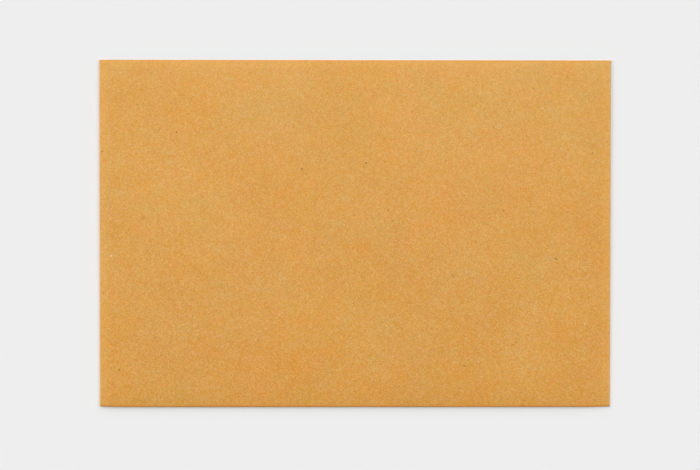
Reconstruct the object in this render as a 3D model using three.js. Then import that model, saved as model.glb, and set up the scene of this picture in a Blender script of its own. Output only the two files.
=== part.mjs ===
// A plain kraft paper envelope, closed, lying on its flap with the address face up.
// It is one die-cut sheet, folded at four creases and held by two glued seams.
//
// Units are millimetres. X runs along the long edges and Y towards the flap's crease.
// Z points up, out of the address face. The origin is under the middle of the address face,
// on the surface that the envelope lies on.

import * as THREE from "three";

// Closed envelope, from crease to crease

const WIDTH = 206;
const HEIGHT = 140;

// The sheet, and the dried films on it

const PAPER = 0.15;
const GLUE_FILM = 0.05;
const GUM_FILM = 0.05;

// Loft of an empty envelope

const POCKET_GAP = 0.6;
const FLAP_CLEARANCE = 0.3;

// Back panel. Its sides stop short of the side creases and lean in towards its free edge,
// which is the pocket's throat.

const BACK_SIDE_INSET = 2;
const BACK_SIDE_SLANT = 1.5;
const THROAT_DROP = 14;
const THROAT_CORNER_RADIUS = 5;

// Side flaps, folded in behind the front panel

const SIDE_FLAP_WIDTH = 24;
const SIDE_FLAP_END_SLANT = 7;
const SIDE_FLAP_TOP_DROP = 4;
const SIDE_FLAP_BOTTOM_RISE = 2;
const SIDE_FLAP_CORNER_RADIUS = 4;

// Glued seams between the side flaps and the back panel

const SEAM_GLUE_WIDTH = 12;
const SEAM_GLUE_EDGE_INSET = 2;
const SEAM_GLUE_END_INSET = 3;
const SEAM_GLUE_CORNER_RADIUS = 2;

// Closure flap, and the gum on its inner face

const CLOSURE_DEPTH = 55;
const CLOSURE_SIDE_SLANT = 13.5;
const CLOSURE_CORNER_RADIUS = 12;
const GUM_WIDTH = 15;
const GUM_EDGE_INSET = 5;
const GUM_END_INSET = 9;
const GUM_CORNER_RADIUS = 2.5;

// The die cuts a short relief past each end of a crease

const CREASE_RELIEF = 0.3;

// Straight facets in half of a curve

const CREASE_FACETS = 5;
const CORNER_FACETS = 4;

// Levels of the layers, upwards from the surface that the envelope lies on

const flapBottom = 0;
const flapTop = flapBottom + PAPER;
const backBottom = flapTop + GUM_FILM + FLAP_CLEARANCE;
const backTop = backBottom + PAPER;
const sideBottom = backTop + GLUE_FILM;
const sideTop = sideBottom + PAPER;
const frontBottom = sideTop + POCKET_GAP;
const frontTop = frontBottom + PAPER;

// Each crease is half a tube, and its outer radius spans the two layers that it joins

const topFoldRadius = (frontTop - flapBottom) / 2;
const bottomFoldRadius = (frontTop - backBottom) / 2;
const sideFoldRadius = (frontTop - sideBottom) / 2;

// Outer edges, and the lines where flat paper meets a crease

const rightEdge = WIDTH / 2;
const topEdge = HEIGHT / 2;
const bottomEdge = -HEIGHT / 2;
const sideTangent = rightEdge - sideFoldRadius;
const topTangent = topEdge - topFoldRadius;
const bottomTangent = bottomEdge + bottomFoldRadius;

// Reach of each piece

const backHalfWidth = rightEdge - BACK_SIDE_INSET;
const throatHalfWidth = backHalfWidth - BACK_SIDE_SLANT;
const throat = topEdge - THROAT_DROP;
const sideFlapTop = topEdge - SIDE_FLAP_TOP_DROP;
const sideFlapBottom = bottomEdge + SIDE_FLAP_BOTTOM_RISE;
const sideFlapInnerEdge = rightEdge - SIDE_FLAP_WIDTH;
const closureHalfTip = rightEdge - CLOSURE_SIDE_SLANT;
const closureTip = topEdge - CLOSURE_DEPTH;

// Directions in which a crease's section is extruded

const X_AXIS = new THREE.Vector3(1, 0, 0);
const Y_AXIS = new THREE.Vector3(0, 1, 0);
const Z_AXIS = new THREE.Vector3(0, 0, 1);
const ALONG_X = new THREE.Matrix4().makeBasis(Y_AXIS, Z_AXIS, X_AXIS);
const ALONG_Y = new THREE.Matrix4().makeBasis(Z_AXIS, X_AXIS, Y_AXIS);

// Where a crease bulges to, as an angle in its section: in Y and Z along X, in Z and X along Y

const BULGE_TOP = 0;
const BULGE_BOTTOM = Math.PI;
const BULGE_RIGHT = Math.PI / 2;
const BULGE_LEFT = -Math.PI / 2;

const SIDES = [
  { name: "left", sign: -1, bulge: BULGE_LEFT },
  { name: "right", sign: 1, bulge: BULGE_RIGHT },
];

// Finishes

function kraftPaper() {
  return new THREE.MeshStandardMaterial({ color: 0xdaa156, roughness: 0.85, metalness: 0 });
}

function driedGlue() {
  return new THREE.MeshStandardMaterial({ color: 0xd9c9a0, roughness: 0.5, metalness: 0 });
}

function driedGum() {
  return new THREE.MeshStandardMaterial({ color: 0xc4924f, roughness: 0.3, metalness: 0 });
}

// An outline through corners [x, y] or [x, y, radius], listed counterclockwise.
// A radius rounds its corner by an arc that touches both of the corner's sides.

function outline(corners) {
  const shape = new THREE.Shape();
  const points = corners.map(([x, y]) => new THREE.Vector2(x, y));
  corners.forEach(([, , radius = 0], i) => {
    const corner = points[i];
    if (radius > 0) {
      const before = points.at(i - 1);
      const after = points[(i + 1) % points.length];
      roundCorner(shape, before, corner, after, radius);
    } else if (i === 0) {
      shape.moveTo(corner.x, corner.y);
    } else {
      shape.lineTo(corner.x, corner.y);
    }
  });
  shape.closePath();
  return shape;
}

function roundCorner(shape, before, corner, after, radius) {
  const back = before.clone().sub(corner).normalize();
  const ahead = after.clone().sub(corner).normalize();
  const halfAngle = Math.acos(back.dot(ahead)) / 2;
  const start = corner.clone().addScaledVector(back, radius / Math.tan(halfAngle));
  const middle = back.clone().add(ahead).normalize();
  const centre = corner.clone().addScaledVector(middle, radius / Math.sin(halfAngle));
  const from = start.clone().sub(centre).angle();
  const to = from + Math.PI - 2 * halfAngle;
  if (shape.curves.length === 0) {
    shape.moveTo(start.x, start.y);
  }
  shape.absarc(centre.x, centre.y, radius, from, to, false);
}

// The same outline on the other side of the envelope

function mirrored(corners) {
  return corners.map(([x, y, radius]) => [-x, y, radius]).reverse();
}

// A flat layer with its lower face at the given level

function layer(name, corners, level, thickness, material) {
  const settings = { depth: thickness, bevelEnabled: false, curveSegments: CORNER_FACETS };
  const mesh = new THREE.Mesh(new THREE.ExtrudeGeometry(outline(corners), settings), material);
  mesh.name = name;
  mesh.position.z = level;
  return mesh;
}

// A crease starts at the given point on its axis and is half a tube of paper

function crease(name, radius, bulge, direction, length, start) {
  const from = bulge - Math.PI / 2;
  const to = bulge + Math.PI / 2;
  const section = new THREE.Shape();
  section.absarc(0, 0, radius, from, to, false);
  section.absarc(0, 0, radius - PAPER, to, from, true);
  section.closePath();
  const settings = { depth: length, bevelEnabled: false, curveSegments: CREASE_FACETS };
  const geometry = new THREE.ExtrudeGeometry(section, settings).applyMatrix4(direction);
  const mesh = new THREE.Mesh(geometry, kraftPaper());
  mesh.name = name;
  mesh.position.copy(start);
  return mesh;
}

// The address face. It has a small tab at each corner, past the ends of the creases.

function frontPanel() {
  const tabInnerEdge = backHalfWidth + CREASE_RELIEF;
  const tabTop = sideFlapBottom - CREASE_RELIEF;
  const shoulder = sideFlapTop + CREASE_RELIEF;
  const rightHalf = [
    [tabInnerEdge, bottomTangent],
    [tabInnerEdge, bottomEdge],
    [rightEdge, bottomEdge],
    [rightEdge, tabTop],
    [sideTangent, tabTop],
    [sideTangent, shoulder],
    [rightEdge, shoulder],
    [rightEdge, topTangent],
  ];
  const corners = [...rightHalf, ...mirrored(rightHalf)];
  return layer("front_panel", corners, frontBottom, PAPER, kraftPaper());
}

function bottomFold() {
  const start = new THREE.Vector3(-backHalfWidth, bottomTangent, frontTop - bottomFoldRadius);
  return crease("bottom_fold", bottomFoldRadius, BULGE_BOTTOM, ALONG_X, 2 * backHalfWidth, start);
}

function sideFold({ name, sign, bulge }) {
  const start = new THREE.Vector3(sign * sideTangent, sideFlapBottom, frontTop - sideFoldRadius);
  const length = sideFlapTop - sideFlapBottom;
  return crease(`${name}_fold`, sideFoldRadius, bulge, ALONG_Y, length, start);
}

function sideFlap({ name, sign }) {
  const lowerEnd = sideFlapBottom + SIDE_FLAP_END_SLANT;
  const upperEnd = sideFlapTop - SIDE_FLAP_END_SLANT;
  const right = [
    [sideTangent, sideFlapBottom],
    [sideTangent, sideFlapTop],
    [sideFlapInnerEdge, upperEnd, SIDE_FLAP_CORNER_RADIUS],
    [sideFlapInnerEdge, lowerEnd, SIDE_FLAP_CORNER_RADIUS],
  ];
  const corners = sign > 0 ? right : mirrored(right);
  return layer(`${name}_side_flap`, corners, sideBottom, PAPER, kraftPaper());
}

// The glue lies where a side flap and the back panel overlap

function seamGlueLine({ name, sign }) {
  const outer = throatHalfWidth - SEAM_GLUE_EDGE_INSET;
  const inner = outer - SEAM_GLUE_WIDTH;
  const lowerEnd = sideFlapBottom + SIDE_FLAP_END_SLANT;
  const upperEnd = Math.min(throat, sideFlapTop - SIDE_FLAP_END_SLANT) - SEAM_GLUE_END_INSET;
  const right = [
    [inner, lowerEnd, SEAM_GLUE_CORNER_RADIUS],
    [outer, lowerEnd, SEAM_GLUE_CORNER_RADIUS],
    [outer, upperEnd, SEAM_GLUE_CORNER_RADIUS],
    [inner, upperEnd, SEAM_GLUE_CORNER_RADIUS],
  ];
  const corners = sign > 0 ? right : mirrored(right);
  return layer(`${name}_seam_glue`, corners, backTop, GLUE_FILM, driedGlue());
}

function backPanel() {
  const corners = [
    [-backHalfWidth, bottomTangent],
    [backHalfWidth, bottomTangent],
    [throatHalfWidth, throat, THROAT_CORNER_RADIUS],
    [-throatHalfWidth, throat, THROAT_CORNER_RADIUS],
  ];
  return layer("back_panel", corners, backBottom, PAPER, kraftPaper());
}

// The flap turns on the middle of this crease

function topFold() {
  const start = new THREE.Vector3(-rightEdge, topTangent, frontTop - topFoldRadius);
  return crease("top_fold", topFoldRadius, BULGE_TOP, ALONG_X, WIDTH, start);
}

function closureFlap() {
  const corners = [
    [-closureHalfTip, closureTip, CLOSURE_CORNER_RADIUS],
    [closureHalfTip, closureTip, CLOSURE_CORNER_RADIUS],
    [rightEdge, topTangent],
    [-rightEdge, topTangent],
  ];
  return layer("closure_flap", corners, flapBottom, PAPER, kraftPaper());
}

function flapGum() {
  const halfLength = closureHalfTip - GUM_END_INSET;
  const lowerEdge = closureTip + GUM_EDGE_INSET;
  const upperEdge = lowerEdge + GUM_WIDTH;
  const corners = [
    [-halfLength, lowerEdge, GUM_CORNER_RADIUS],
    [halfLength, lowerEdge, GUM_CORNER_RADIUS],
    [halfLength, upperEdge, GUM_CORNER_RADIUS],
    [-halfLength, upperEdge, GUM_CORNER_RADIUS],
  ];
  return layer("flap_gum", corners, flapTop, GUM_FILM, driedGum());
}

const pocket = new THREE.Group();
pocket.add(frontPanel(), bottomFold(), backPanel(), topFold());
for (const side of SIDES) {
  pocket.add(sideFold(side), sideFlap(side), seamGlueLine(side));
}

const flap = new THREE.Group();
flap.add(closureFlap(), flapGum());

const envelope = new THREE.Group();
envelope.add(pocket, flap);

export default envelope;
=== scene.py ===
"""A kraft envelope lying face up on a pale table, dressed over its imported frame.

The envelope is one sheet of kraft paper, cut and folded. Here each panel and each crease of that sheet is a
piece of its own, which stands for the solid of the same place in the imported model. Lengths are in metres in
the model's frame: +X along the long edges, +Y towards the crease of the closure flap, +Z out of the address
face, with the table at z = 0.
"""

import logging
import math
from collections.abc import Callable, Mapping, Sequence
from dataclasses import dataclass
from enum import Enum
from functools import cached_property, reduce

import bmesh
import bpy
from mathutils import Euler, Matrix, Vector, noise

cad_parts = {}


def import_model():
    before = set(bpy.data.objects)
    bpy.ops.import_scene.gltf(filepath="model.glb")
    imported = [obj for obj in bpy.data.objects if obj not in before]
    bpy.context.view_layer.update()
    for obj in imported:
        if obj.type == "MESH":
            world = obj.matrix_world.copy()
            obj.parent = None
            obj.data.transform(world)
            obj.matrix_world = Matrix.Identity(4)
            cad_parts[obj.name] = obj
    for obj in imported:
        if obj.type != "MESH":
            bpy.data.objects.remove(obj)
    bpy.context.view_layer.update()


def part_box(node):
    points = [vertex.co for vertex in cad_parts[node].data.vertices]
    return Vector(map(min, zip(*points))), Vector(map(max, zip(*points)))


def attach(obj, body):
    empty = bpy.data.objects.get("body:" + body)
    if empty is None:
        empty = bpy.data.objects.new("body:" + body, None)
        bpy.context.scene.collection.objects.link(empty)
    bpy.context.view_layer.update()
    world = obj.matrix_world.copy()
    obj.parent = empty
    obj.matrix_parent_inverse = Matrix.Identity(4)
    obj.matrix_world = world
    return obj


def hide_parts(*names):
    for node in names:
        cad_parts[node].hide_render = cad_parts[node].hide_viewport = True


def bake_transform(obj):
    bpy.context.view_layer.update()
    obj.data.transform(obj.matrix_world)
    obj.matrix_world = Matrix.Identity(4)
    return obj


LOG = logging.getLogger("kraft_envelope")
MM = 0.001
X_AXIS, Y_AXIS, Z_AXIS = Matrix.Identity(3)

Mesh = bmesh.types.BMesh
Material = bpy.types.Material
# Two numbers: a place across the table, or where a mask is 0 and where it is 1.
Pair = tuple[float, float]
# Three numbers: a colour, a direction or a set of turns.
Triple = tuple[float, float, float]
# What a node is given, by name or number.
Values = Mapping[str | int, object] | None


class Body(Enum):
    """The bodies that pieces ride on."""

    POCKET = "pocket"
    FLAP = "flap"


class Slot(Enum):
    """The record's material slots."""

    KRAFT = "kraft_paper"
    SEAM_GLUE = "seam_glue"
    GUM = "flap_gum"


class Side(Enum):
    """The left and right of the envelope."""

    LEFT = "left"
    RIGHT = "right"


class Face(Enum):
    """Material places on a sheet's mesh."""

    SURFACE = 0
    CUT_EDGE = 1


# The materials of a slot, for a sheet's surface and for its cut edge.
Palette = Mapping[Slot, tuple[Material, Material]]


def clipped(value: float) -> float:
    """A number kept between 0 and 1."""
    return min(max(value, 0.0), 1.0)


def smooth(value: float) -> float:
    """A number eased from 0 to 1, flat at both ends."""
    share = clipped(value)
    return share * share * (3.0 - 2.0 * share)


# Shader maths


@dataclass(frozen=True)
class Signal:
    """An output socket of one of the bench's nodes, which takes part in Python sums."""

    bench: "NodeBench"
    socket: bpy.types.NodeSocket

    def __add__(self, other: "Signal | float") -> "Signal":
        """This plus another."""
        return self.bench.maths("ADD", self, other)

    def __radd__(self, other: float) -> "Signal":
        """A number plus this."""
        return self.bench.maths("ADD", other, self)

    def __sub__(self, other: "Signal | float") -> "Signal":
        """This less another."""
        return self.bench.maths("SUBTRACT", self, other)

    def __rsub__(self, other: float) -> "Signal":
        """A number less this."""
        return self.bench.maths("SUBTRACT", other, self)

    def __mul__(self, other: "Signal | float") -> "Signal":
        """This times another."""
        return self.bench.maths("MULTIPLY", self, other)

    def __rmul__(self, other: float) -> "Signal":
        """A number times this."""
        return self.bench.maths("MULTIPLY", other, self)

    def __truediv__(self, other: "Signal | float") -> "Signal":
        """This over another."""
        return self.bench.maths("DIVIDE", self, other)

    def __abs__(self) -> "Signal":
        """This without its sign."""
        return self.bench.maths("ABSOLUTE", self)


@dataclass(frozen=True)
class Made:
    """A node of the bench, whose outputs are read by name."""

    bench: "NodeBench"
    node: bpy.types.Node

    def __getitem__(self, output: str | int) -> Signal:
        """The output of that name or number."""
        return Signal(self.bench, self.node.outputs[output])


class NodeBench:
    """Makes the nodes of one material or of the world."""

    # The mix node's places for two colours and for their mixture.
    mix_first, mix_second, mixed = 6, 7, 2

    def __init__(self, owner: Material | bpy.types.World) -> None:
        """Clears the owner's nodes.

        Args:
            owner: The material or world to fill.
        """
        owner.use_nodes = True
        self.owner = owner
        self.tree = owner.node_tree
        self.tree.nodes.clear()

    def node(self, kind: str, settings: Values = None, sockets: Values = None) -> Made:
        """Makes any node.

        Args:
            kind: The node's type.
            settings: Its own properties, which are set first.
            sockets: Values or links for its inputs, by name or number.

        Returns:
            The node.
        """
        node = self.tree.nodes.new(kind)
        for key, value in (settings or {}).items():
            setattr(node, key, value)
        for key, value in (sockets or {}).items():
            if isinstance(value, Signal):
                self.tree.links.new(value.socket, node.inputs[key])
            else:
                node.inputs[key].default_value = value
        return Made(self, node)

    def maths(self, operation: str, *terms: Signal | float) -> Signal:
        """One step of arithmetic."""
        return self.node("ShaderNodeMath", {"operation": operation}, dict(enumerate(terms)))[0]

    def vector(self, operation: str, *terms: Signal | Triple) -> Signal:
        """One step of vector arithmetic that gives a vector."""
        return self.node("ShaderNodeVectorMath", {"operation": operation}, dict(enumerate(terms)))["Vector"]

    def measure(self, operation: str, *terms: Signal | Triple) -> Signal:
        """One step of vector arithmetic that gives a number."""
        return self.node("ShaderNodeVectorMath", {"operation": operation}, dict(enumerate(terms)))["Value"]

    def ramp(self, value: Signal, low: float, high: float) -> Signal:
        """Eases a signal from 0 at low to 1 at high.

        Args:
            value: What is read.
            low: Where the result is 0. It may be above high.
            high: Where the result is 1.

        Returns:
            The eased mask.
        """
        ends = {"From Min": min(low, high), "From Max": max(low, high)}
        results = {"To Min": float(low > high), "To Max": float(low < high)}
        settings = {"interpolation_type": "SMOOTHSTEP"}
        return self.node("ShaderNodeMapRange", settings, {"Value": value, **ends, **results})["Result"]

    def mix(self, share: Signal, first: Signal | Triple, second: Triple) -> Signal:
        """Mixes two colours.

        Args:
            share: How much of the second.
            first: A colour, or a signal of one.
            second: A colour.

        Returns:
            The mixed colour.
        """
        under = first if isinstance(first, Signal) else (*first, 1.0)
        sockets = {0: share, self.mix_first: under, self.mix_second: (*second, 1.0)}
        return self.node("ShaderNodeMix", {"data_type": "RGBA"}, sockets)[self.mixed]

    def axes(self, vector: Signal) -> Made:
        """The X, Y and Z of a vector."""
        return self.node("ShaderNodeSeparateXYZ", None, {"Vector": vector})

    @cached_property
    def place(self) -> Signal:
        """Where on the model, in millimetres."""
        return self.vector("MULTIPLY", self.node("ShaderNodeTexCoord")["Object"], (1.0 / MM,) * 3)

    @cached_property
    def spot(self) -> Made:
        """The X, Y and Z of that place."""
        return self.axes(self.place)

    def turn(self, vector: Signal, angle: Signal | float, centre: Triple = (0.0, 0.0, 0.0)) -> Signal:
        """A vector turned about +Z."""
        sockets = {"Vector": vector, "Center": centre, "Angle": angle}
        return self.node("ShaderNodeVectorRotate", {"rotation_type": "Z_AXIS"}, sockets)[0]

    def grain(self, vector: Signal, scale: float, detail: float, **more: float) -> Made:
        """Noise in three dimensions."""
        sockets = {"Vector": vector, "Scale": scale, "Detail": detail, **more}
        return self.node("ShaderNodeTexNoise", None, sockets)

    def cells(self, dimensions: str, vector: Signal, scale: float, randomness: float = 1.0) -> Made:
        """Points strewn over cells, read from the nearest."""
        sockets = {"Vector": vector, "Scale": scale, "Randomness": randomness}
        return self.node("ShaderNodeTexVoronoi", {"voronoi_dimensions": dimensions}, sockets)

    def relief(self, height: Signal, distance: float) -> Signal:
        """The normal of a surface in relief."""
        return self.node("ShaderNodeBump", None, {"Distance": distance, "Height": height})["Normal"]

    def end(self, shader: Signal) -> Material:
        """The material, ended with this shader."""
        self.node("ShaderNodeOutputMaterial", None, {"Surface": shader})
        return self.owner

    def coat(self, colour: Signal, roughness: Signal | float, relief: Signal, refraction: float) -> Material:
        """The material, ended with a shader of this colour, roughness, normal and index of refraction."""
        sockets = {"Base Color": colour, "Roughness": roughness, "Normal": relief, "IOR": refraction}
        return self.end(self.node("ShaderNodeBsdfPrincipled", None, sockets)["BSDF"])


# Finishes


@dataclass(frozen=True)
class Cloudiness:
    """One layer of paper mottle: the size of its clouds in millimetres and how far it shifts the pulp."""

    size: float
    pale: float
    ruddy: float
    blond: float


@dataclass(frozen=True)
class Mottle:
    """Layers of mottle that colour the paper in one way.

    Red, green and blue say how far each of them follows the pale, ruddy and blond shifts of the pulp.
    """

    clouds: tuple[Cloudiness, ...]
    red: Triple
    green: Triple
    blue: Triple


@dataclass(frozen=True)
class Fleck:
    """A single fleck on the address face, in millimetres, with its turn in degrees."""

    x: float
    y: float
    length: float
    width: float
    turn: float
    strength: float


@dataclass(frozen=True)
class Scatter:
    """Flecks strewn over the whole sheet, with their mean spacing and radius in millimetres."""

    spacing: float
    share: float
    radius: float
    strength: float
    offset: float
    tone: Triple


GRAIN = Mottle(
    clouds=(
        Cloudiness(0.41, 13.5, 6.8, 19.0),
        Cloudiness(1.0, 3.9, 3.8, 4.6),
    ),
    red=(0.0115, 0.029, 0.0),
    green=(0.056, 0.0, 0.0),
    blue=(0.23, -0.014, 0.115),
)
PATCHES = Mottle(
    clouds=(
        Cloudiness(2.4, 1.3, 2.05, 1.7),
        Cloudiness(5.5, 1.25, 2.15, 1.6),
        Cloudiness(13.0, 1.5, 1.8, 1.6),
        Cloudiness(30.0, 1.8, 2.4, 1.8),
        Cloudiness(75.0, -1.3, 0.3, 0.5),
    ),
    red=(-0.003, 0.029, 0.0),
    green=(0.056, 0.0, 0.0),
    blue=(0.203, -0.013, 0.112),
)
BARK = (0.175, 0.105, 0.04)
AMBER = (0.6, 0.225, 0.014)
STRAW = (0.8, 0.6, 0.46)
BARK_FLECKS = (
    Fleck(4.3, 28.6, 0.36, 0.3, 40.0, 0.95),
    Fleck(-72.0, 40.9, 0.42, 0.32, 140.0, 0.8),
    Fleck(-21.5, 26.2, 0.34, 0.32, 0.0, 0.95),
    Fleck(81.0, -10.0, 0.6, 0.26, 148.0, 0.9),
    Fleck(44.1, -53.4, 0.34, 0.32, 0.0, 0.8),
    Fleck(76.7, -59.3, 0.6, 0.2, 60.0, 0.28),
    Fleck(-101.9, 33.1, 0.55, 0.36, 80.0, 0.6),
    Fleck(-95.2, -54.9, 0.32, 0.3, 0.0, 0.75),
    Fleck(39.4, -17.0, 0.85, 0.22, -58.0, 0.6),
    Fleck(15.0, 5.1, 0.38, 0.3, 60.0, 0.6),
    Fleck(-85.3, 6.2, 0.85, 0.22, 45.0, 0.5),
    Fleck(-89.9, 43.9, 0.4, 0.28, 20.0, 0.35),
    Fleck(-78.7, 42.0, 0.34, 0.28, 0.0, 0.35),
)
AMBER_FLECKS = (
    Fleck(21.6, -27.8, 2.3, 0.26, -4.0, 0.9),
    Fleck(57.1, 1.7, 0.44, 0.34, 43.0, 0.9),
    Fleck(9.3, -12.3, 0.4, 0.36, 0.0, 0.9),
    Fleck(85.5, 63.3, 0.7, 0.36, -58.0, 0.8),
    Fleck(63.4, -44.8, 0.5, 0.36, 30.0, 0.95),
    Fleck(65.3, -43.9, 0.36, 0.3, 0.0, 0.8),
    Fleck(67.9, -69.4, 0.6, 0.4, 0.0, 1.0),
)
STRAW_FLECKS = (
    Fleck(-98.3, -8.9, 0.5, 0.25, 20.0, 1.0),
    Fleck(92.8, -36.3, 0.4, 0.26, 70.0, 0.6),
)
SCATTERS = (
    Scatter(12.0, 0.16, 0.3, 0.62, 0.0, BARK),
    Scatter(4.6, 0.2, 0.22, 0.36, 31.0, BARK),
    Scatter(2.1, 0.2, 0.27, 0.55, 57.0, AMBER),
    Scatter(9.0, 0.14, 0.28, 0.35, 83.0, STRAW),
)


@dataclass(frozen=True)
class KraftFinish:
    """Unbleached kraft paper, with its pulp mottle, fibres and flecks, rubbed side creases with a painted
    highlight, and painted shade along the long creases.

    Apart from the depth of the relief, its lengths are in millimetres.
    """

    name: str = "kraft_paper"
    tone: Triple = (0.676, 0.3265, 0.0555)
    # Tone change along Y per millimetre: slightly greener and less blue towards the top crease.
    drift: Triple = (0.0, 0.00015, -0.0004)
    roughness: float = 0.445
    roughness_spread: float = 0.03
    refraction: float = 1.38
    relief: float = 0.02 * MM
    relief_share: float = 0.15
    relief_level: float = 0.5
    # Paler tone on the outermost line of the side creases: rubbed fibre and a painted highlight on the roll
    # of the crease.
    crease_wear_and_highlight_tone: Triple = (0.95, 0.52, 0.115)
    crease_side: Pair = (102.4, 102.95)
    crease_mark_scale: float = 0.8
    crease_mark_detail: float = 2.0
    crease_mark_least: float = 0.4
    crease_mark_spread: float = 0.6
    # Paler bands inside the side creases and below the top crease.
    pale_side_band: Pair = (97.5, 102.0)
    pale_top_band: Pair = (65.5, 69.2)
    pale_band_share: float = 0.12
    # Painted shade along the bottom and top creases.
    crease_shade_tone: Triple = (0.665, 0.268, 0.024)
    crease_shade_foot: Pair = (-68.9, -69.5)
    crease_shade_head: Pair = (69.25, 69.65)
    crease_shading: float = 0.55
    grain: Mottle = GRAIN
    patches: Mottle = PATCHES
    grain_turn: Triple = (0.31, 0.47, 0.73)
    layer_shift: float = 7.0
    cloud_offset: float = 37.0
    cloud_offset_growth: float = 11.3
    cloud_offset_way: Triple = (1.0, 0.37, 0.71)
    fibre_turns: Triple = (0.12, 1.18, 2.27)
    fibre_length: float = 1.8
    fibre_width: float = 0.25
    fibre_bend: float = 0.4
    fibre_depth: float = 1.8
    draw_edge: float = 0.9
    scatter_slant: float = 0.6
    scatter_least: float = 0.55
    scatter_spread: float = 0.75
    scatter_rim: Pair = (1.3, 0.6)
    fleck_rim: Pair = (1.35, 0.65)
    face_heights: Pair = (0.95, 1.05)
    shive_spacing: float = 17.0
    shive_share: float = 0.22
    shive_bend: float = 0.45
    shive_sway: float = 1.1
    shive_randomness: float = 0.8
    shive_length: Pair = (1.9, 1.2)
    shive_width: Pair = (0.15, 0.05)
    shive_strength: float = 0.3

    def pulp(self, bench: NodeBench, place: Signal, clouds: Sequence[Cloudiness]) -> Signal:
        """Adds up layers of mottle, each with its pattern moved apart from the others.

        Args:
            bench: The material's bench.
            place: Where, in millimetres.
            clouds: The layers.

        Returns:
            A vector of the pale, ruddy and blond shifts, each about zero.
        """
        layers = []
        for cloud in clouds:
            offset = self.cloud_offset + self.cloud_offset_growth * cloud.size
            moved = bench.vector("ADD", place, tuple(offset * share for share in self.cloud_offset_way))
            grain = bench.grain(moved, 1.0 / cloud.size, 0.0)["Color"]
            centred = bench.vector("SUBTRACT", grain, (0.5, 0.5, 0.5))
            layers.append(bench.vector("MULTIPLY", centred, (cloud.pale, cloud.ruddy, cloud.blond)))
        return reduce(lambda first, second: bench.vector("ADD", first, second), layers)

    def fibres(self, bench: NodeBench) -> Signal:
        """Streaks of fibre in several directions.

        Args:
            bench: The material's bench.

        Returns:
            A vector with the streaks as its pale shift, about zero.
        """
        streaks = []
        stretch = (1.0 / self.fibre_length, 1.0 / self.fibre_width, 1.0 / self.fibre_width)
        for turn in self.fibre_turns:
            stretched = bench.vector("MULTIPLY", bench.turn(bench.place, turn), stretch)
            streaks.append(bench.grain(stretched, 1.0, 1.0, Distortion=self.fibre_bend)["Fac"] - 0.5)
        depth = sum(streaks[1:], streaks[0]) * self.fibre_depth
        return bench.node("ShaderNodeCombineXYZ", None, {"X": depth})[0]

    def scattered(self, bench: NodeBench, flat: Signal, scatter: Scatter) -> Signal:
        """Round flecks strewn over the sheet.

        Args:
            bench: The material's bench.
            flat: Where on the sheet, in millimetres.
            scatter: How they are strewn.

        Returns:
            A mask that is above 0 in a fleck.
        """
        moved = bench.vector("ADD", flat, (scatter.offset, scatter.offset * self.scatter_slant, 0.0))
        cells = bench.cells("2D", moved, 1.0 / scatter.spacing)
        draw = bench.node("ShaderNodeSeparateColor", None, {"Color": cells["Color"]})
        chosen = self.chosen(bench, draw, scatter.share)
        size = self.scatter_least + self.scatter_spread * draw["Green"]
        reach = size * (scatter.radius / scatter.spacing)
        inside = bench.ramp(cells["Distance"] / reach, *self.scatter_rim)
        return inside * chosen * (0.5 + 0.5 * draw["Blue"]) * scatter.strength

    def chosen(self, bench: NodeBench, draw: Made, share: float) -> Signal:
        """A mask over a share of the cells, picked by their draw."""
        return bench.ramp(draw["Red"], 1.0 - share, 1.0 - share * self.draw_edge)

    def marked(self, bench: NodeBench, flecks: Sequence[Fleck]) -> Signal:
        """The single flecks of one kind on the address face.

        Args:
            bench: The material's bench.
            flecks: The flecks.

        Returns:
            A mask that is above 0 in a fleck.
        """
        total = 0.0
        for fleck in flecks:
            middle = (fleck.x, fleck.y, 0.0)
            turned = bench.turn(bench.place, -math.radians(fleck.turn), middle)
            moved = bench.vector("SUBTRACT", turned, middle)
            scaled = bench.vector("MULTIPLY", moved, (1.0 / fleck.length, 1.0 / fleck.width, 0.0))
            total = total + bench.ramp(bench.measure("LENGTH", scaled), *self.fleck_rim) * fleck.strength
        return total * bench.ramp(bench.spot["Z"], *self.face_heights)

    def shives(self, bench: NodeBench, flat: Signal) -> Signal:
        """Sparse short dark fibres, each turned its own way.

        Args:
            bench: The material's bench.
            flat: Where on the sheet, in millimetres.

        Returns:
            A mask that is above 0 on a shive.
        """
        bent = bench.grain(flat, self.shive_bend, 0.0)["Color"]
        swayed = bench.vector("ADD", flat, bench.vector("MULTIPLY", bent, (self.shive_sway,) * 3))
        cells = bench.cells("2D", swayed, 1.0 / self.shive_spacing, self.shive_randomness)
        draw = bench.node("ShaderNodeSeparateColor", None, {"Color": cells["Color"]})
        from_middle = bench.vector("SUBTRACT", swayed, cells["Position"])
        parts = bench.axes(bench.turn(from_middle, draw["Green"] * math.tau))
        along = bench.ramp(abs(parts["X"]), *self.shive_length)
        across = bench.ramp(abs(parts["Y"]), *self.shive_width)
        return along * across * self.chosen(bench, draw, self.shive_share) * self.shive_strength

    def rubbed_and_highlit(self, bench: NodeBench) -> Signal:
        """A paler outermost line along the side creases, partly rubbed fibre and partly a painted highlight
        on the crease's roll, and a paler band inside it and below the top crease.

        Args:
            bench: The material's bench.

        Returns:
            A mask for the paler tone: rubbed fibre with a painted highlight on the side creases, and the pale
                bands.
        """
        out = abs(bench.spot["X"])
        mark_noise = bench.grain(bench.place, self.crease_mark_scale, self.crease_mark_detail)["Fac"]
        line = bench.ramp(out, *self.crease_side) * (self.crease_mark_least + self.crease_mark_spread * mark_noise)
        beside = bench.ramp(out, *self.pale_side_band)
        below = bench.ramp(bench.spot["Y"], *self.pale_top_band)
        return bench.maths("MAXIMUM", line, bench.maths("MAXIMUM", beside, below) * self.pale_band_share)

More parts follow.
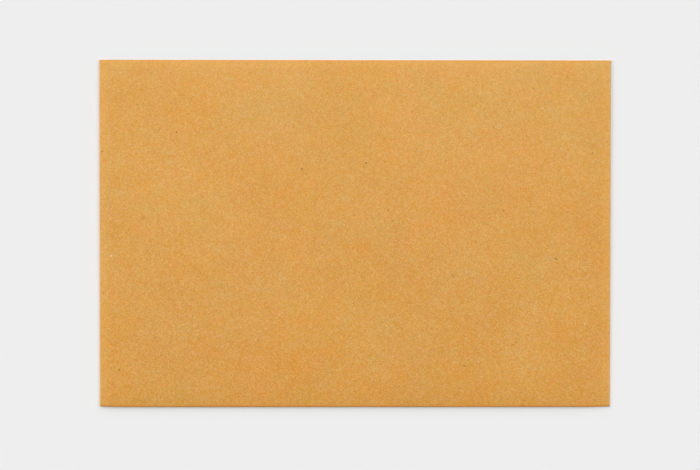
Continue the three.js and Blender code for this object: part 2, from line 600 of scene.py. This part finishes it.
    def crease_shade(self, bench: NodeBench) -> Signal:
        """A mask of painted shade along the long creases: darker at the bottom crease, and at the top crease
        where it cuts back the crease's highlight.
        """
        lines = [bench.ramp(bench.spot["Y"], *rim) for rim in (self.crease_shade_foot, self.crease_shade_head)]
        return bench.maths("MAXIMUM", *lines) * self.crease_shading

    def build(self) -> Material:
        """Makes the material.

        Returns:
            The material.
        """
        bench = NodeBench(bpy.data.materials.new(self.name))
        layer = bench.node("ShaderNodeCombineXYZ", None, {"X": bench.spot["Z"] * self.layer_shift})[0]
        flat = bench.vector("ADD", bench.vector("MULTIPLY", bench.place, (1.0, 1.0, 0.0)), layer)
        rotation = {"Vector": bench.place, "Rotation": self.grain_turn}
        turned = bench.node("ShaderNodeVectorRotate", {"rotation_type": "EULER_XYZ"}, rotation)[0]
        grain = bench.vector("ADD", self.pulp(bench, turned, self.grain.clouds), self.fibres(bench))
        patches = self.pulp(bench, turned, self.patches.clouds)
        pale = bench.measure("DOT_PRODUCT", grain, (1.0, 0.0, 0.0))
        channels = {}
        for channel, tone, drift in zip(("red", "green", "blue"), self.tone, self.drift):
            fine = bench.measure("DOT_PRODUCT", grain, getattr(self.grain, channel))
            broad = bench.measure("DOT_PRODUCT", patches, getattr(self.patches, channel))
            thinned = 1.0 + 0.5 * (fine + broad + drift * bench.spot["Y"])
            channels[channel.title()] = thinned * thinned * tone
        colour = bench.node("ShaderNodeCombineColor", None, channels)[0]
        for scatter in SCATTERS:
            colour = bench.mix(self.scattered(bench, flat, scatter), colour, scatter.tone)
        for flecks, tone in ((BARK_FLECKS, BARK), (AMBER_FLECKS, AMBER), (STRAW_FLECKS, STRAW)):
            colour = bench.mix(self.marked(bench, flecks), colour, tone)
        colour = bench.mix(self.shives(bench, flat), colour, AMBER)
        # The paler side crease line is partly rubbed fibre, partly a painted highlight on the crease's roll.
        colour = bench.mix(self.rubbed_and_highlit(bench), colour, self.crease_wear_and_highlight_tone)
        # Painted shade along the long creases.
        colour = bench.mix(self.crease_shade(bench), colour, self.crease_shade_tone)
        roughness = self.roughness + bench.maths("SINE", pale) * self.roughness_spread
        relief = bench.relief(pale * self.relief_share + self.relief_level, self.relief)
        return bench.coat(colour, roughness, relief, self.refraction)


@dataclass(frozen=True)
class CutEdgeFinish:
    """The die-cut edge of the kraft sheet, paler and fuzzier than its faces."""

    name: str = "kraft_cut_edge"
    tone: Triple = (0.74, 0.44, 0.155)
    dark: Triple = (0.6, 0.31, 0.085)
    roughness: float = 0.85
    ply_scale: Triple = (2.2, 2.2, 16.0)
    ply_detail: float = 2.0
    ply_rim: Pair = (0.32, 0.68)
    relief: float = 0.03 * MM
    refraction: float = 1.45

    def build(self) -> Material:
        """Makes the material.

        Returns:
            The material.
        """
        bench = NodeBench(bpy.data.materials.new(self.name))
        stretched = bench.vector("MULTIPLY", bench.place, self.ply_scale)
        plies = bench.grain(stretched, 1.0, self.ply_detail)["Fac"]
        colour = bench.mix(bench.ramp(plies, *self.ply_rim), self.dark, self.tone)
        return bench.coat(colour, self.roughness, bench.relief(plies, self.relief), self.refraction)


@dataclass(frozen=True)
class GlueFinish:
    """A film of dried glue with the marks of its roller. As it stands, it is the glue of the seams."""

    name: str = "seam_glue"
    tone: Triple = (0.66, 0.56, 0.35)
    thin_tone: Triple = (0.6, 0.42, 0.19)
    roughness: float = 0.55
    roughness_spread: float = 0.2
    ripple: float = 0.03 * MM
    ripple_size: float = 1.6
    bubble_share: float = 0.6
    drag: float = 3.0
    ripple_detail: float = 3.0
    ripple_roughness: float = 0.55
    grain_scale: float = 1.5
    grain_detail: float = 2.0
    grain_share: float = 0.3
    grain_relief: float = 0.25
    bubble_scale: float = 0.7
    bubble_rim: Pair = (0.22, 0.14)
    bubble_relief: float = 0.6
    thin_rim: Pair = (0.34, 0.68)
    refraction: float = 1.47

    def build(self) -> Material:
        """Makes the material.

        Returns:
            The material.
        """
        bench = NodeBench(bpy.data.materials.new(self.name))
        stretch = (1.0 / (self.drag * self.ripple_size), 1.0 / self.ripple_size, 1.0)
        dragged = bench.vector("MULTIPLY", bench.place, stretch)
        waves = bench.grain(dragged, 1.0, self.ripple_detail, Roughness=self.ripple_roughness)["Fac"]
        grain = bench.grain(bench.place, self.grain_scale, self.grain_detail)["Fac"]
        cells = bench.cells("3D", bench.place, self.bubble_scale)
        bubbles = bench.ramp(cells["Distance"], *self.bubble_rim) * self.bubble_share
        thin = bench.ramp(waves + self.grain_share * (grain - 0.5), *self.thin_rim)
        colour = bench.mix(thin, self.tone, self.thin_tone)
        colour = bench.mix(bubbles, colour, self.thin_tone)
        height = waves + self.grain_relief * grain - self.bubble_relief * bubbles
        roughness = self.roughness + (waves - 0.5) * self.roughness_spread
        return bench.coat(colour, roughness, bench.relief(height, self.ripple), self.refraction)


GUM = GlueFinish(
    name="flap_gum",
    tone=(0.56, 0.285, 0.075),
    thin_tone=(0.62, 0.335, 0.095),
    roughness=0.27,
    roughness_spread=0.16,
    ripple=0.05 * MM,
    ripple_size=2.4,
    bubble_share=0.35,
)


def mix_palette() -> Palette:
    """Makes every finish once.

    Returns:
        The materials of each slot.
    """
    kraft = (KraftFinish().build(), CutEdgeFinish().build())
    seam_glue = GlueFinish().build()
    gum = GUM.build()
    return {Slot.KRAFT: kraft, Slot.SEAM_GLUE: (seam_glue, seam_glue), Slot.GUM: (gum, gum)}


# Cutting and folding


@dataclass(frozen=True)
class Corner:
    """A corner of a cut sheet."""

    x: float
    y: float
    radius: float = 0.0


def rectangle(low_x: float, low_y: float, high_x: float, high_y: float, radius: float = 0.0) -> list[Corner]:
    """The corners of a rectangle, in order."""
    places = ((low_x, low_y), (high_x, low_y), (high_x, high_y), (low_x, high_y))
    return [Corner(x, y, radius) for x, y in places]


class Paper:
    """Makes closed solids of paper with mesh operators."""

    edge_steps = (0.3, 0.6, 1.0, 1.5, 2.1, 2.8, 3.6, 4.6, 6.0, 7.6, 9.4, 11.2, 13.0)
    pitch = 4.0 * MM
    corner_segments = 8
    fold_steps = 14
    side_on = 0.5
    end_on = 0.9
    tiny = 1e-7

    @classmethod
    def lines(cls, low: float, high: float) -> list[float]:
        """Where a sheet is divided: finely beside its edges, and evenly between.

        Args:
            low: One edge.
            high: The other edge.

        Returns:
            The places of the cuts between the edges, in order.
        """
        steps = [step * MM for step in cls.edge_steps if 2 * step * MM < high - low]
        reach = steps[-1]
        places = [low + step for step in steps] + [high - step for step in steps]
        count = max(int((high - low - 2 * reach) / cls.pitch), 1)
        gap = (high - low - 2 * reach) / count
        places += [low + reach + gap * index for index in range(1, count)]
        return sorted(places)

    @classmethod
    def divide(cls, mesh: Mesh, axis: Vector, place: float) -> None:
        """Divides a mesh by the plane across an axis at that place."""
        parts = [*mesh.verts, *mesh.edges, *mesh.faces]
        bmesh.ops.bisect_plane(mesh, geom=parts, dist=cls.tiny, plane_co=axis * place, plane_no=axis)

    @classmethod
    def cut(cls, node: str, corners: Sequence[Corner]) -> Mesh:
        """Cuts a flat sheet.

        Args:
            node: The node that gives the heights of its faces.
            corners: Its corners in order.

        Returns:
            The sheet as a closed mesh.
        """
        low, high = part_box(node)
        mesh = bmesh.new()
        rim = [mesh.verts.new((corner.x, corner.y, high.z)) for corner in corners]
        mesh.faces.new(rim)
        for vertex, corner in zip(rim, corners):
            if corner.radius:
                cls._round(mesh, vertex, corner.radius)
        for axis in (X_AXIS, Y_AXIS):
            spread = [vertex.co.dot(axis) for vertex in mesh.verts]
            for place in cls.lines(min(spread), max(spread)):
                cls.divide(mesh, axis, place)
        grown = bmesh.ops.extrude_face_region(mesh, geom=mesh.faces[:])
        lower = [part for part in grown["geom"] if isinstance(part, bmesh.types.BMVert)]
        bmesh.ops.translate(mesh, verts=lower, vec=Z_AXIS * (low.z - high.z))
        return cls._finish(mesh, lambda normal: abs(normal.z) < cls.side_on)

    @classmethod
    def _round(cls, mesh: Mesh, vertex: bmesh.types.BMVert, radius: float) -> None:
        """Rounds one corner of a flat face to a radius."""
        first, second = (edge.other_vert(vertex).co - vertex.co for edge in vertex.link_edges)
        bmesh.ops.bevel(
            mesh,
            geom=[vertex],
            offset=radius / math.tan(first.angle(second) / 2),
            offset_type="OFFSET",
            segments=cls.corner_segments,
            profile=0.5,
            affect="VERTICES",
            material=-1,
        )

    @classmethod
    def fold(cls, node: str, start: Pair, end: Pair, turn: float) -> Mesh:
        """Folds a strip of the address panel's sheet half way round a crease.

        Args:
            node: The crease's node, which gives the height of its axis.
            start: The place where the axis starts.
            end: The place where it ends.
            turn: The angle of the fold about the line from start to end.

        Returns:
            The crease as a closed mesh.
        """
        low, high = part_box(node)
        sheet_low, sheet_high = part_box("front_panel")
        first = Vector((*start, 0.0))
        last = Vector((*end, 0.0))
        along = last - first
        direction = along.normalized()
        centre = (first + last) / 2
        centre.z = (sheet_low.z + sheet_high.z) / 2
        across = Z_AXIS * (sheet_high.z - sheet_low.z)
        shape = Matrix((along, across, along.cross(Z_AXIS).normalized())).transposed()
        count = int(along.length / cls.pitch)
        mesh = bmesh.new()
        bmesh.ops.create_grid(
            mesh,
            x_segments=count,
            y_segments=1,
            size=0.5,
            matrix=Matrix.Translation(centre) @ shape.to_4x4(),
        )
        bmesh.ops.spin(
            mesh,
            geom=[*mesh.verts, *mesh.edges, *mesh.faces],
            cent=Vector((*start, (low.z + high.z) / 2)),
            axis=direction,
            angle=turn,
            steps=cls.fold_steps,
        )
        bmesh.ops.remove_doubles(mesh, verts=mesh.verts[:], dist=cls.tiny)
        return cls._finish(mesh, lambda normal: abs(normal.dot(direction)) > cls.end_on)

    @staticmethod
    def _finish(mesh: Mesh, is_cut: Callable[[Vector], bool]) -> Mesh:
        """Turns a sheet's faces outwards and gives them their material places.

        Args:
            mesh: The sheet.
            is_cut: Tells a cut edge by its normal.

        Returns:
            The sheet.
        """
        bmesh.ops.recalc_face_normals(mesh, faces=mesh.faces[:])
        mesh.normal_update()
        for face in mesh.faces:
            kind = Face.CUT_EDGE if is_cut(face.normal) else Face.SURFACE
            face.material_index = kind.value
        return mesh


# How the paper lies


@dataclass(frozen=True)
class Pinch:
    """How a crease draws the layers beside it together, about its own middle height."""

    middle: float
    half: float
    depth: float
    reach: float

    @classmethod
    def of(cls, node: str, depth: float, reach: float) -> "Pinch":
        """The pinch of a crease of the frame."""
        low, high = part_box(node)
        return cls((low.z + high.z) / 2, (high.z - low.z) / 2, depth, reach)

    def drawn(self, height: float, distance: float) -> float:
        """The height of a point at a distance from the crease."""
        near = clipped(1.0 - distance / self.reach)
        return self.middle + (height - self.middle) * (1.0 - self.depth / self.half * (near * near))


@dataclass
class Settler:
    """Moves the points of a finished mesh to where they lie in the settled envelope.

    A pinch is the depth and the reach of what a crease does to the layers beside it.
    """

    sag: float = 0.1 * MM
    sag_from: float = 8.0 * MM
    sag_to: float = -38.0 * MM
    top_pinch: Pair = (0.36 * MM, 12.5 * MM)
    bottom_pinch: Pair = (0.32 * MM, 10.0 * MM)
    side_pinch: Pair = (0.05 * MM, 4.0 * MM)
    corner_draw: float = 0.24 * MM
    corner_reach: float = 12.0 * MM
    corner_from: float = 40.0 * MM
    corner_fade: float = 28.0 * MM
    shoulder: float = 0.27 * MM
    shoulder_reach: float = 8.0 * MM
    shoulder_depth: float = 12.0 * MM
    ripple: float = 0.1 * MM
    ripple_size: float = 42.0 * MM
    ripple_seed: float = 3.7
    ripple_from: float = 2.0 * MM
    ripple_fade: float = 22.0 * MM
    side_sink: float = 0.38 * MM
    side_sink_reach: float = 18.0 * MM
    side_sink_from: float = 64.0 * MM
    side_sink_to: float = -55.0 * MM
    side_spread: float = 0.25
    end_cuts: tuple[float, ...] = (0.0, 0.2, 0.4, 0.55, 0.7, 0.8, 0.88, 0.94)

    def __post_init__(self) -> None:
        """Reads the creases from the frame."""
        self.top = Pinch.of("top_fold", *self.top_pinch)
        self.bottom = Pinch.of("bottom_fold", *self.bottom_pinch)
        self.side = Pinch.of("right_fold", *self.side_pinch)
        self.top_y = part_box("top_fold")[1].y
        self.bottom_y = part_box("bottom_fold")[0].y
        self.side_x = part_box("right_fold")[1].x

    def dip(self, y: float) -> float:
        """How far the pocket sinks past the edge of the flap under it."""
        return self.sag * smooth((self.sag_from - y) / (self.sag_from - self.sag_to))

    def sink(self, inset: float, y: float) -> float:
        """How far the right side lies down, more towards its edge and its lower end."""
        share = clipped((self.side_sink_from - y) / (self.side_sink_from - self.side_sink_to))
        return self.side_sink * share * smooth(1.0 - inset / self.side_sink_reach)

    def wave(self, x: float, y: float) -> float:
        """A faint ripple of the sheet, from 0 to its full depth."""
        spot = Vector((x / self.ripple_size, y / self.ripple_size, self.ripple_seed))
        return self.ripple * (0.5 + 0.5 * noise.noise(spot))

    def settle(self, mesh: Mesh, body: Body, ripple: float = 0.0) -> None:
        """Moves every point of a mesh.

        Args:
            mesh: A piece's finished mesh.
            body: What it lies with.
            ripple: The share of the ripple it has, below zero for a sheet that ripples downwards.
        """
        for vertex in mesh.verts:
            x, y, height = vertex.co
            below = self.top_y - y
            above = y - self.bottom_y
            inset = self.side_x - abs(x)
            inner = smooth((min(below, above, inset) - self.ripple_from) / self.ripple_fade)
            height = self.top.drawn(height + ripple * self.wave(x, y) * inner, below)
            sink = 0.0
            if body is Body.POCKET:
                sink = self.sink(self.side_x - x, y)
                height = self.side.drawn(self.bottom.drawn(height, above), inset)
                height -= self.dip(y) + sink
            corner = smooth(1.0 - inset / self.corner_reach)
            lower = smooth((-y - self.corner_from) / self.corner_fade)
            drawn = self.corner_draw * corner * corner * lower
            spread = self.side_spread * sink
            vertex.co = (x + spread, y + drawn - spread, height)

    def round_end(self, mesh: Mesh) -> None:
        """Turns the lower end of a side crease down over the bottom crease.

        Args:
            mesh: The side crease's mesh.
        """
        radius = self.bottom.half
        axis_y = self.bottom_y + radius
        for share in self.end_cuts:
            Paper.divide(mesh, Y_AXIS, axis_y - share * radius)
        for vertex in mesh.verts:
            beyond = clipped((axis_y - vertex.co.y) / radius)
            fullness = math.sqrt(1.0 - beyond * beyond)
            vertex.co.z = self.bottom.middle + (vertex.co.z - self.bottom.middle) * fullness

    def widen_shoulder(self, mesh: Mesh) -> None:
        """Lets the right end of the flap's crease stand out past the pocket.

        Args:
            mesh: The crease's or the flap's mesh.
        """
        for vertex in mesh.verts:
            along = smooth((vertex.co.x - (self.side_x - self.shoulder_reach)) / self.shoulder_reach)
            near = smooth(1.0 - (self.top_y - vertex.co.y) / self.shoulder_depth)
            vertex.co.x += self.shoulder * along * near


# Pieces


def put(name: str, data: bpy.types.ID) -> bpy.types.Object:
    """Puts a new object into the scene.

    Args:
        name: Its name.
        data: Its mesh, light or camera.

    Returns:
        The object.
    """
    obj = bpy.data.objects.new(name, data)
    bpy.context.scene.collection.objects.link(obj)
    return obj


def put_mesh(name: str, mesh: Mesh, materials: Sequence[Material]) -> bpy.types.Object:
    """Puts a new object into the scene with the shape of a mesh.

    Args:
        name: Its name.
        mesh: The finished mesh, which is freed.
        materials: Its materials.

    Returns:
        The object.
    """
    data = bpy.data.meshes.new(name)
    mesh.to_mesh(data)
    mesh.free()
    for material in materials:
        data.materials.append(material)
    return put(name, data)


@dataclass(frozen=True)
class Piece:
    """What a piece is: its name, the node it stands for, its body, its slot and its share of the ripple."""

    name: str
    node: str
    body: Body = Body.POCKET
    slot: Slot = Slot.KRAFT
    ripple: float = 0.0


@dataclass
class Assembly:
    """What the pocket and the closure have in common: their materials, and how their sheets lie."""

    palette: Palette
    settler: Settler
    sharp_angle: float = math.radians(38.0)

    def dress(self, piece: Piece, mesh: Mesh) -> bpy.types.Object:
        """Makes a piece's object, which rides on nothing yet.

        Args:
            piece: The piece.
            mesh: Its settled mesh.

        Returns:
            The object.
        """
        obj = put_mesh(piece.name, mesh, self.palette[piece.slot])
        obj.data.shade_smooth()
        obj.data.set_sharp_from_angle(angle=self.sharp_angle)
        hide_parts(piece.node)
        return obj

    def mount(self, piece: Piece, mesh: Mesh) -> None:
        """Settles a piece and lets it ride on its body.

        Args:
            piece: The piece.
            mesh: Its mesh, as it was cut or folded.
        """
        self.settler.settle(mesh, piece.body, piece.ripple)
        obj = self.dress(piece, mesh)
        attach(obj, piece.body.value)
        LOG.info("%s rides on %s with %d faces", obj.name, piece.body.value, len(obj.data.polygons))


@dataclass
class Pocket(Assembly):
    """The folded pocket: address panel, three creases, two side flaps, their glue and the back panel."""

    flap_end_slant: float = 7.0 * MM
    flap_corner_radius: float = 4.0 * MM
    side_slant: float = 1.5 * MM
    throat_radius: float = 5.0 * MM
    glue_radius: float = 2.0 * MM
    side_fold_end: float = 0.1 * MM
    side_fold_inset: float = 0.02 * MM
    face_ripple: float = -1.0

    def build(self) -> None:
        """Builds every piece of the pocket."""
        self.address_panel()
        self.bottom_crease()
        for side in Side:
            self.side_crease(side)
            self.side_flap(side)
            self.seam_glue(side)
        self.back_panel()

    def address_panel(self) -> None:
        """Builds the panel that carries the address."""
        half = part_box("right_fold")[0].x
        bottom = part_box("bottom_fold")[1].y
        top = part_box("front_panel")[1].y
        mesh = Paper.cut("front_panel", rectangle(-half, bottom, half, top))
        self.mount(Piece("address_panel", "front_panel", ripple=self.face_ripple), mesh)

    def bottom_crease(self) -> None:
        """Builds the crease between the address panel and the back panel."""
        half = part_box("right_fold")[0].x
        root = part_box("bottom_fold")[1].y
        mesh = Paper.fold("bottom_fold", (-half, root), (half, root), math.pi)
        self.mount(Piece("bottom_crease", "bottom_fold"), mesh)

    def side_crease(self, side: Side) -> None:
        """Builds the crease between the address panel and a side flap.

        Args:
            side: Which one.
        """
        node = f"{side.value}_fold"
        low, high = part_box(node)
        root = low.x if side is Side.RIGHT else high.x
        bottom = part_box("bottom_fold")[0].y + self.side_fold_inset
        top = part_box("front_panel")[1].y - self.side_fold_end
        turn = math.pi if side is Side.RIGHT else -math.pi
        mesh = Paper.fold(node, (root, bottom), (root, top), turn)
        self.settler.round_end(mesh)
        self.mount(Piece(f"{side.value}_crease", node), mesh)

    def side_flap(self, side: Side) -> None:
        """Builds the seam flap that is folded in behind the address panel.

        Args:
            side: Which one.
        """
        node = f"{side.value}_side_flap"
        low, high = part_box(node)
        root, tip = (high.x, low.x) if side is Side.RIGHT else (low.x, high.x)
        corners = [
            Corner(root, low.y),
            Corner(root, high.y),
            Corner(tip, high.y - self.flap_end_slant, self.flap_corner_radius),
            Corner(tip, low.y + self.flap_end_slant, self.flap_corner_radius),
        ]
        self.mount(Piece(f"{side.value}_inner_flap", node), Paper.cut(node, corners))

    def seam_glue(self, side: Side) -> None:
        """Builds the dried glue between a side flap and the back panel.

        Args:
            side: Which one.
        """
        node = f"{side.value}_seam_glue"
        low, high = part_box(node)
        mesh = Paper.cut(node, rectangle(low.x, low.y, high.x, high.y, self.glue_radius))
        self.mount(Piece(f"{side.value}_glue_line", node, slot=Slot.SEAM_GLUE), mesh)

    def back_panel(self) -> None:
        """Builds the panel that is folded up from the bottom and glued over the side flaps."""
        low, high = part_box("back_panel")
        corners = [
            Corner(low.x, low.y),
            Corner(high.x, low.y),
            Corner(high.x - self.side_slant, high.y, self.throat_radius),
            Corner(low.x + self.side_slant, high.y, self.throat_radius),
        ]
        mesh = Paper.cut("back_panel", corners)
        self.mount(Piece("rear_panel", "back_panel"), mesh)


@dataclass
class Closure(Assembly):
    """The closure flap, the crease that it turns on and the gum on its inner face."""

    tip_radius: float = 12.0 * MM
    side_slant: float = 13.5 * MM
    root_gap: float = 0.03 * MM
    gum_radius: float = 2.5 * MM
    flap_ripple: float = 0.6

    def build(self) -> None:
        """Builds every piece of the closure."""
        self.crease()
        self.flap()
        self.gum()

    def crease(self) -> None:
        """Builds the crease between the pocket and the flap."""
        low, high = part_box("top_fold")
        mesh = Paper.fold("top_fold", (low.x, low.y), (high.x, low.y), -math.pi)
        self.settler.widen_shoulder(mesh)
        self.settler.settle(mesh, Body.FLAP)
        obj = self.dress(Piece("top_crease", "top_fold"), mesh)
        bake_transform(obj)
        LOG.info("%s bends between the pocket and the flap", obj.name)

    def flap(self) -> None:
        """Builds the flap."""
        low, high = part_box("closure_flap")
        root = high.y - self.root_gap
        corners = [
            Corner(low.x, root),
            Corner(low.x + self.side_slant, low.y, self.tip_radius),
            Corner(high.x - self.side_slant, low.y, self.tip_radius),
            Corner(high.x, root),
        ]
        mesh = Paper.cut("closure_flap", corners)
        self.settler.widen_shoulder(mesh)
        self.mount(Piece("closing_flap", "closure_flap", Body.FLAP, ripple=self.flap_ripple), mesh)

    def gum(self) -> None:
        """Builds the strip of gum."""
        low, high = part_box("flap_gum")
        mesh = Paper.cut("flap_gum", rectangle(low.x, low.y, high.x, high.y, self.gum_radius))
        self.mount(Piece("gum_strip", "flap_gum", Body.FLAP, Slot.GUM, self.flap_ripple), mesh)


# Studio


@dataclass(frozen=True)
class FloorFinish:
    """A plain pale table top that shows as one even tone, and keeps the envelope's shadow. Beside the top
    crease it has a painted cool shade that cancels the warm light the crease throws on it.
    """

    name: str = "pale_floor"
    shown: float = 0.855
    albedo: float = 0.845
    slope: Pair = (0.082, -0.273)
    curve: Pair = (0.205, 0.75)
    bounce_shade_tint: Triple = (0.06, 0.025, 0.0)
    bounce_shade_top: Pair = (0.0755, 0.0704)
    bounce_shade_foot: Pair = (0.05, 0.065)
    bounce_shade_side: Pair = (0.1045, 0.0995)
    plain: Pair = (0.2, 0.5)

    def build(self) -> Material:
        """Makes the material.

        Returns:
            The material.
        """
        bench = NodeBench(bpy.data.materials.new(self.name))
        parts = bench.axes(bench.node("ShaderNodeTexCoord")["Object"])
        x, y = parts["X"], parts["Y"]
        level = 1.0 + x * self.slope[0] + y * self.slope[1] + x * x * self.curve[0] + y * y * self.curve[1]
        level = level * self.albedo
        # Painted shade: a cooler band beside the top crease, against the crease's warm reflected light.
        beside = bench.ramp(y, *self.bounce_shade_top) * bench.ramp(y, *self.bounce_shade_foot)
        beside = beside * bench.ramp(abs(x), *self.bounce_shade_side)
        tinted = [level * (1.0 - beside * share) for share in self.bounce_shade_tint]
        colour = bench.node("ShaderNodeCombineColor", None, dict(enumerate(tinted)))[0]
        matte = bench.node("ShaderNodeBsdfDiffuse", None, {"Color": colour})["BSDF"]
        plain = bench.node("ShaderNodeEmission", None, {"Color": (self.shown,) * 3 + (1.0,)})["Emission"]
        path = bench.node("ShaderNodeLightPath")
        seen = bench.maths("MAXIMUM", path["Is Camera Ray"], path["Is Glossy Ray"])
        seen = bench.maths("MAXIMUM", seen, path["Is Transmission Ray"])
        away = bench.ramp(bench.maths("SQRT", x * x + y * y), *self.plain)
        return bench.end(bench.node("ShaderNodeMixShader", None, {0: away * seen, 1: matte, 2: plain})[0])


@dataclass(frozen=True)
class Lamp:
    """A soft lamp, which is turned to the middle of the table unless it stands like a wall."""

    name: str
    at: Triple
    size: Pair
    power: float
    stands: bool = False


@dataclass(frozen=True)
class Studio:
    """The table, the lights and the camera."""

    floor_size: float = 12.0
    floor_drop: float = 0.02 * MM
    lens: float = 100.0
    clip: Pair = (0.01, 50.0)
    camera_at: Triple = (-0.009899, 0.014876, 0.785426)
    camera_turn: Triple = (-1.1221, -0.5661, 0.0415)
    lamps: tuple[Lamp, ...] = (
        Lamp("softbox", (0.0, 0.23, 1.35), (0.8, 0.5), 6.29),
        Lamp("left_panel", (-1.07, 0.05, 1.19), (0.55, 0.55), 5.25),
        Lamp("right_panel", (0.98, 0.05, 1.26), (0.5, 0.5), 4.4),
        Lamp("wall_panel", (-1.2, 1.5, 1.4), (4.6, 2.4), 43.8, stands=True),
    )
    sky: float = 0.36
    sky_heights: Pair = (0.18, 0.38)
    sky_side: Pair = (-0.2, 0.32)
    ambient: float = 0.03
    floor: FloorFinish = FloorFinish()

    def build(self) -> None:
        """Sets up the whole studio."""
        self.lay_floor()
        for lamp in self.lamps:
            self.hang(lamp)
        self.light_room()
        self.stand_camera()
        bpy.context.scene.view_settings.view_transform = "Standard"

    def lay_floor(self) -> None:
        """Lays the table top under the envelope."""
        mesh = bmesh.new()
        bmesh.ops.create_grid(mesh, x_segments=2, y_segments=2, size=self.floor_size / 2)
        bmesh.ops.translate(mesh, verts=mesh.verts[:], vec=Z_AXIS * -self.floor_drop)
        put_mesh("floor", mesh, [self.floor.build()])

    @staticmethod
    def hang(lamp: Lamp) -> None:
        """Sets up a lamp.

        Args:
            lamp: The lamp.
        """
        data = bpy.data.lights.new(lamp.name, "AREA")
        data.shape = "RECTANGLE"
        data.size, data.size_y = lamp.size
        data.energy = lamp.power
        obj = put(lamp.name, data)
        obj.location = lamp.at
        towards = -Y_AXIS if lamp.stands else -Vector(lamp.at)
        obj.rotation_euler = towards.to_track_quat("-Z", "Y").to_euler()
        obj.visible_camera = False

    def light_room(self) -> None:
        """Lights the room: pale walls and ceiling on the far side, dim on the near side."""
        world = bpy.data.worlds.new("room")
        bpy.context.scene.world = world
        bench = NodeBench(world)
        parts = bench.axes(bench.node("ShaderNodeTexCoord")["Generated"])
        far_side = bench.ramp(parts["Y"], *self.sky_side)
        high = bench.ramp(parts["Z"], *self.sky_heights)
        level = self.ambient + far_side * high * self.sky
        path = bench.node("ShaderNodeLightPath")
        seen = bench.maths("MAXIMUM", path["Is Camera Ray"], path["Is Transmission Ray"])
        level = seen * self.floor.shown + (1.0 - seen) * level
        sky = bench.node("ShaderNodeBackground", None, {"Color": (1.0,) * 4, "Strength": level})
        bench.node("ShaderNodeOutputWorld", None, {"Surface": sky[0]})

    def stand_camera(self) -> None:
        """Stands the camera straight over the address face."""
        camera = bpy.data.cameras.new("camera")
        camera.lens = self.lens
        camera.sensor_fit = "HORIZONTAL"
        camera.clip_start, camera.clip_end = self.clip
        obj = put("camera", camera)
        obj.location = self.camera_at
        obj.rotation_euler = Euler([math.radians(angle) for angle in self.camera_turn])
        bpy.context.scene.camera = obj


def main() -> None:
    """Builds the studio and every piece of the envelope, in order."""
    logging.basicConfig(level=logging.INFO, format="%(name)s: %(message)s")
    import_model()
    Studio().build()
    palette = mix_palette()
    settler = Settler()
    Pocket(palette, settler).build()
    Closure(palette, settler).build()


if __name__ == "__main__":
    main()
